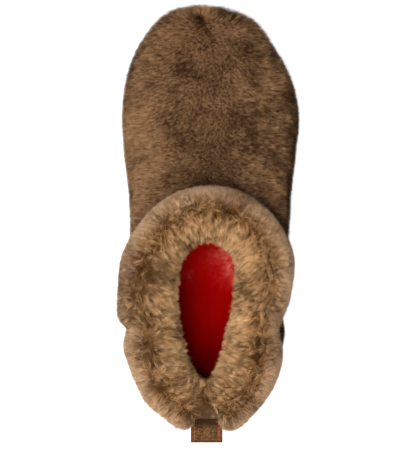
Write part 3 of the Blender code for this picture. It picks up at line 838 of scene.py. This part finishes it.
def cuff_fleece(name, count, low, high, seed, finish, bands, **growth):
    """Strands between two angles.

    A row of bands has its angle, the way outwards, lean, length in mm, wave in mm, tone and stray.
    """
    draw = np.random.default_rng(seed)
    at, way, lean, length, wave, tone, stray = np.array(bands).T

    def weight(middle, facing):
        angle = round_the_roll(middle, facing)[0]
        return ((angle > low) & (angle < high)).astype(float)

    roots, normals = scatter(cuff_roll, count, weight, draw)
    angle, outwards = round_the_roll(roots, normals)
    angle = angle + draw.normal(0.0, ANGLE_SPREAD, count)
    way = np.interp(angle, at, way)[:, None]
    flow = outwards * way + HEELWARDS * np.clip(-way, 0.0, 1.0)
    comb = flatten(flow + LOCK_STIR * soft_noise(roots, LOCK_SIZE, seed), normals)
    short = 1.0 - SHORTER_AT_LOOP * near_loop(roots) * (angle > OUTER_ANGLE)
    length = np.interp(angle, at, length) * MM * short
    tone = np.interp(angle, at, tone) + WOOL_STIR * soft_noise(roots, WOOL_PATCH, 9)[:, 0]
    # Painted shade and painted light from the table of spots.
    tone = tone - hollow(roots, CUFF_PAINTED_SHADE_AND_LIGHT)
    piece = grow(
        name, roots, normals, comb, draw, length, np.interp(angle, at, lean), tone,
        wave=np.interp(angle, at, wave) * MM, stray=np.interp(angle, at, stray), **growth
    )
    piece.data.materials.append(finish)
    declare(piece, "tan_wool", "fur_cuff")


RIM_WIDTH, WOOL_WIDTH = 0.28 * MM, 0.25 * MM
cuff_fleece(
    "cuff_rim", 140_000, low=20, high=130, seed=21, finish=rim_pile,
    bands=(
        (20, 0.9, 0.90, 8.5, 0.3, 0.55, 0.6), (45, 1.0, 0.70, 7.6, 0.1, 0.70, 0.35),
        (75, 1.0, 0.55, 7.0, 0.0, 0.80, 0.15), (120, 1.0, 0.60, 6.5, 0.0, 0.7, 0.15),
    ),
    width=RIM_WIDTH, tuft=10, pull=0.50, mottle=0.30, uneven=0.20,
)
cuff_fleece(
    "cuff_crown", 62_000, low=-38, high=34, seed=24, finish=tan_wool,
    bands=(
        (-40, -1.0, 0.90, 10.5, 0.20, 0.76, 0.30), (-15, -1.0, 0.95, 11.5, 0.30, 0.68, 0.40),
        (10, -0.6, 0.95, 11.0, 0.45, 0.55, 0.75), (35, 0.8, 0.90, 9.0, 0.3, 0.55, 0.6),
    ),
    width=WOOL_WIDTH, tuft=16, pull=0.64, steps=2, mottle=0.50, uneven=0.30, fray=0.16,
)
cuff_fleece(
    "cuff_inside", 62_000, low=-125, high=-28, seed=27, finish=tan_wool,
    bands=(
        (-110, -1.0, 0.90, 8.0, 0.1, 0.46, 0.25), (-70, -1.0, 0.80, 10.0, 0.15, 0.74, 0.25),
        (-28, -1.0, 0.90, 11.5, 0.20, 0.78, 0.30),
    ),
    width=WOOL_WIDTH, tuft=16, pull=0.62, steps=2, mottle=0.55, uneven=0.30, fray=0.16,
)

# %% [markdown]
# The insole is a sock of red sheepskin that lies on the sole. Only its top is furred, so the hide sinks only
# where the solid faces up, and its edge stays tight to the wall. A flat red sheet would do from above, but it
# would look like paint through the deep opening.

# %% Hide of the insole
INSOLE_DEPTH = 2.6 * MM
RED_SKIN = (0.30, 0.001, 0.001)

insole_hide = copy_of_solid("insole", "insole_hide", 1)
places, normals, _ = mesh_arrays(insole_hide.data)
facing_up = np.clip(normals[:, 2], 0.0, 1.0)
move_corners(insole_hide, places - normals * (INSOLE_DEPTH * facing_up)[:, None])
insole_hide.data.materials.append(hide_finish("red_hide", RED_ROOT, RED_SKIN))
declare(insole_hide, "red_sheepskin", "insole")

# %% [markdown]
# The short red pile lies back towards the heel, and a patch under the instep has been brushed the other way
# and looks pink. A second finish would give the patch a hard edge. Here the comb, the length and the pale tips
# all change softly around measured spots. Painted light lifts the left of the insole, where the cuff's wall
# shades it. The part that shows through the opening is covered more thickly.

# %% Red pile
INSOLE_WIDTH = 0.42 * MM
INSOLE_LENGTH, BRUSHED_EXTRA = 4.6, 2.0
HIDDEN_SHARE = 0.3
WAY_BACK, WAY_BRUSHED = np.array([0.15, -1.0, 0.0]), np.array([1.0, 0.5, 0.0])
BRUSHED = ((8, -22, 9, 0.9), (13, -35, 8, 0.8), (-15, -34, 4, 0.3))
# Spots of painted light, x, y, reach in mm and strength, where the cuff shades the insole.
INSOLE_PAINTED_LIGHT = ((-9, -24, 11, 0.60), (-13, -38, 7, 0.20))


def insole_fleece():
    draw = np.random.default_rng(31)

    def weight(middle, facing):
        return (facing[:, 2] > 0.6) * np.where(middle[:, 1] < 0.0, 1.0, HIDDEN_SHARE)

    roots, normals = scatter(insole_hide, 70_000, weight, draw)
    flow = WAY_BACK + 0.8 * soft_noise(roots, 16 * MM, 7) + 0.4 * soft_noise(roots, 5 * MM, 8)
    brushed = hollow(roots, BRUSHED)
    turned = np.clip(brushed, 0.0, 1.0)[:, None]
    flow = flow * (1.0 - turned) + WAY_BRUSHED * turned
    tone = brushed * (0.8 + 0.8 * soft_noise(roots, 4 * MM, 14)[:, 0])
    # Painted light on the left of the insole, against the cuff's shadow.
    tone += hollow(roots, INSOLE_PAINTED_LIGHT) + 0.04 * soft_noise(roots, 12 * MM, 9)[:, 0]
    length = (INSOLE_LENGTH + BRUSHED_EXTRA * turned[:, 0]) * MM
    mottle = 0.05 + 0.15 * turned[:, 0]
    pale = np.clip(1.3 * turned[:, 0], 0.05, 1.0)
    piece = grow(
        "insole_pile", roots, normals, flatten(flow, normals), draw, length, 0.85, tone,
        width=INSOLE_WIDTH, tuft=8, pull=0.3, stray=0.25, uneven=0.04, mottle=mottle, pale=pale,
    )
    piece.data.materials.append(red_pile)
    declare(piece, "red_sheepskin", "insole")


insole_fleece()

# %% [markdown]
# Inside the wall the skin is turned so that a thin lining of wool meets the foot. It is seen only past the
# edge of the cuff, so a light covering of short, broad strands is enough. Fine ones as on the cuff would cost
# many triangles that nobody sees.

# %% Lining
LINING_LENGTH, LINING_WIDTH = 3.6 * MM, 0.9 * MM
LINING_LOW = 24 * MM
DOWNHILL = np.array([0.0, 0.0, -1.0])


def lining_fleece():
    draw = np.random.default_rng(41)

    def weight(middle, facing):
        inside = (away_from(middle, *SPINE) * facing).sum(1) < 0
        return (inside & (np.abs(facing[:, 2]) < 0.95) & (middle[:, 2] > LINING_LOW)).astype(float)

    roots, normals = scatter(upper_hide, 16_000, weight, draw)
    comb = flatten(DOWNHILL + 0.8 * soft_noise(roots, 15 * MM, 9), normals)
    piece = grow(
        "lining_pile", roots, normals, comb, draw, LINING_LENGTH, lean=0.95, tone=0.5,
        width=LINING_WIDTH, tuft=8, pull=0.4, stray=0.4,
    )
    piece.data.materials.append(tan_wool)
    declare(piece, "brown_sheepskin", "upper")


lining_fleece()

# %% [markdown]
# The pull loop is a strip of suede, folded and sewn in at the back seam. Its solid already has the fold, so
# it stays and gets a finish. The nap of suede is far too short for strands: noise and a shallow bump look
# the same. The end that goes in under the cuff is darkened, because the wool above keeps the light away.

# %% Suede
NAP_SIZE, NAP_RELIEF = 1.1 * MM, 0.35 * MM
WEAR_SIZE = 6 * MM
SUEDE_DARK, SUEDE, SUEDE_WORN = (0.024, 0.010, 0.003), (0.160, 0.078, 0.027), (0.165, 0.094, 0.040)
SHADE_START, SHADE_END = -131.5 * MM, -128 * MM

recipe = Recipe("napped_suede")
nap = recipe.grain(NAP_SIZE, 4.0, 0.75)
wear = recipe.grain(WEAR_SIZE, 2.0)
object_place = recipe.add("ShaderNodeTexCoord", out="Object")
lengthwise = recipe.add("ShaderNodeSeparateXYZ", {}, {0: object_place}, out=1)
under_cuff = recipe.stretch(lengthwise, SHADE_START, SHADE_END) * 0.92
suede_colour = recipe.mix(recipe.stretch(nap, 0.38, 0.62), SUEDE_DARK, SUEDE)
suede_colour = recipe.mix(recipe.stretch(wear, 0.4, 0.7) * 0.25, suede_colour, SUEDE_WORN)
suede_colour = recipe.mix(under_cuff, suede_colour, BROWN_ROOT)
relief = recipe.bump(nap, NAP_RELIEF)
napped_suede = recipe.finish(
    base_color=suede_colour, roughness=HIDE_ROUGHNESS, specular_ior_level=HIDE_SHINE, normal=relief
)
loop_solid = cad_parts["pull_loop"]
loop_solid.data.materials.clear()
loop_solid.data.materials.append(napped_suede)
print("the loop wears", loop_solid.data.materials[0].name)

# %% [markdown]
# A row of thick red thread runs along each edge of the loop and holds it folded. A drawn line would stay flat
# in a close view, so each stitch is a small capsule. Rays from above and from below find the strap, and the
# stitches follow its fold on both faces.

# %% Stitches
STITCH_LENGTH = 1.5 * MM
STITCH_PITCH = 2.5 * MM
STITCH_THICKNESS = 0.42 * MM
STITCH_INSET = 2.3 * MM
FIRST_STITCH = 1.6 * MM
STITCH_RISE = 0.1 * MM
RAY_START = 10 * MM

recipe = Recipe("red_thread")
twist = recipe.grain(0.3 * MM, 2.0)
thread_colour = recipe.mix(twist, (0.36, 0.028, 0.040), (0.58, 0.070, 0.085))
red_thread = recipe.finish(base_color=thread_colour, roughness=0.6, normal=recipe.bump(twist, 0.1 * MM))


def capsule(bm, start, end, thickness):
    """A thread from start to end with round ends."""
    run = end - start
    place = Matrix.Translation((start + end) / 2) @ run.to_track_quat("Z", "Y").to_matrix().to_4x4()
    ball = bmesh.ops.create_uvsphere(bm, u_segments=8, v_segments=7, radius=thickness / 2)
    for corner in ball["verts"]:
        corner.co.z += math.copysign(run.length / 2 - thickness / 2, corner.co.z)
        corner.co = place @ corner.co


def sew_loop():
    surface = BVHTree.FromObject(loop_solid, bpy.context.evaluated_depsgraph_get())
    bm = bmesh.new()
    for x in (LOOP_LOW.x + STITCH_INSET, LOOP_HIGH.x - STITCH_INSET):
        for y in np.arange(LOOP_LOW.y + FIRST_STITCH, LOOP_HIGH.y - STITCH_LENGTH, STITCH_PITCH):
            for way in (-1, 1):
                ray = Vector((0, 0, way))
                height = LOOP_HIGH.z + RAY_START if way < 0 else LOOP_LOW.z - RAY_START
                ends = []
                for at in (y, y + STITCH_LENGTH):
                    hit = surface.ray_cast(Vector((x, at, height)), ray)[0]
                    if hit:
                        ends.append(hit - ray * STITCH_RISE)
                if len(ends) == 2:
                    capsule(bm, ends[0], ends[1], STITCH_THICKNESS)
    mesh = bpy.data.meshes.new("loop_stitches")
    bm.to_mesh(mesh)
    bm.free()
    mesh.shade_smooth()
    mesh.materials.append(red_thread)
    piece = bpy.data.objects.new("loop_stitches", mesh)
    bpy.context.scene.collection.objects.link(piece)
    declare(piece, "brown_suede")


sew_loop()

# %% [markdown]
# The sole is moulded rubber, which the solid already shapes, down to the grooves of its tread. A new mesh
# would add nothing, so the solid stays. It gets a matt finish with a fine pebble and lighter scuffs.

# %% Rubber
PEBBLE_SIZE, PEBBLE_RELIEF = 0.7 * MM, 0.12 * MM
SCUFF_SIZE = 7 * MM
RUBBER, RUBBER_SCUFFED = (0.024, 0.017, 0.013), (0.075, 0.058, 0.046)

recipe = Recipe("matt_rubber")
pebble = recipe.grain(PEBBLE_SIZE, 3.0, 0.6)
scuff = recipe.stretch(recipe.grain(SCUFF_SIZE, 5.0, 0.7), 0.55, 0.8)
rubber_colour = recipe.mix(scuff * 0.5, RUBBER, RUBBER_SCUFFED)
relief = recipe.bump(pebble, PEBBLE_RELIEF)
matt_rubber = recipe.finish(base_color=rubber_colour, roughness=0.62 + 0.25 * scuff, normal=relief)
sole_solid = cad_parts["outsole"]
sole_solid.data.materials.clear()
sole_solid.data.materials.append(matt_rubber)
print("the sole wears", sole_solid.data.materials[0].name)

# %% [markdown]
# The ground is a plain sheet of white paper, lit so evenly that it nearly vanishes. Lamps strong enough for
# that would bleach the boot. So a little light of its own keeps the paper white, and it still takes a faint
# shadow under the boot.

# %% Ground
PAPER_HALF = 6
PAPER_DROP = 0.3 * MM
PAPER_GREY, WHITE = (0.3, 0.3, 0.3, 1.0), (1.0, 1.0, 1.0, 1.0)
PAPER_GLOW = 0.96
AIR_COLOUR, AIR_LIGHT = (1.0, 0.98, 0.96, 1.0), 0.07

recipe = Recipe("white_paper")
white_paper = recipe.finish(
    base_color=PAPER_GREY, roughness=1.0, emission_color=WHITE, emission_strength=PAPER_GLOW
)
sheet = bpy.data.meshes.new("ground")
paper_corners = [(PAPER_HALF * x, PAPER_HALF * y, 0) for x, y in ((-1, -1), (1, -1), (1, 1), (-1, 1))]
sheet.from_pydata(paper_corners, [], [(0, 1, 2, 3)])
sheet.materials.append(white_paper)
ground = bpy.data.objects.new("ground", sheet)
ground.location.z = -PAPER_DROP
ground.visible_diffuse = False
ground.visible_glossy = False
bpy.context.scene.collection.objects.link(ground)

air = bpy.data.worlds.new("studio")
bpy.context.scene.world = air
air.use_nodes = True
backdrop = air.node_tree.nodes["Background"]
backdrop.inputs["Color"].default_value = AIR_COLOUR
backdrop.inputs["Strength"].default_value = AIR_LIGHT
print("ground at", round(ground.location.z / MM, 1), "mm, air light", AIR_LIGHT)
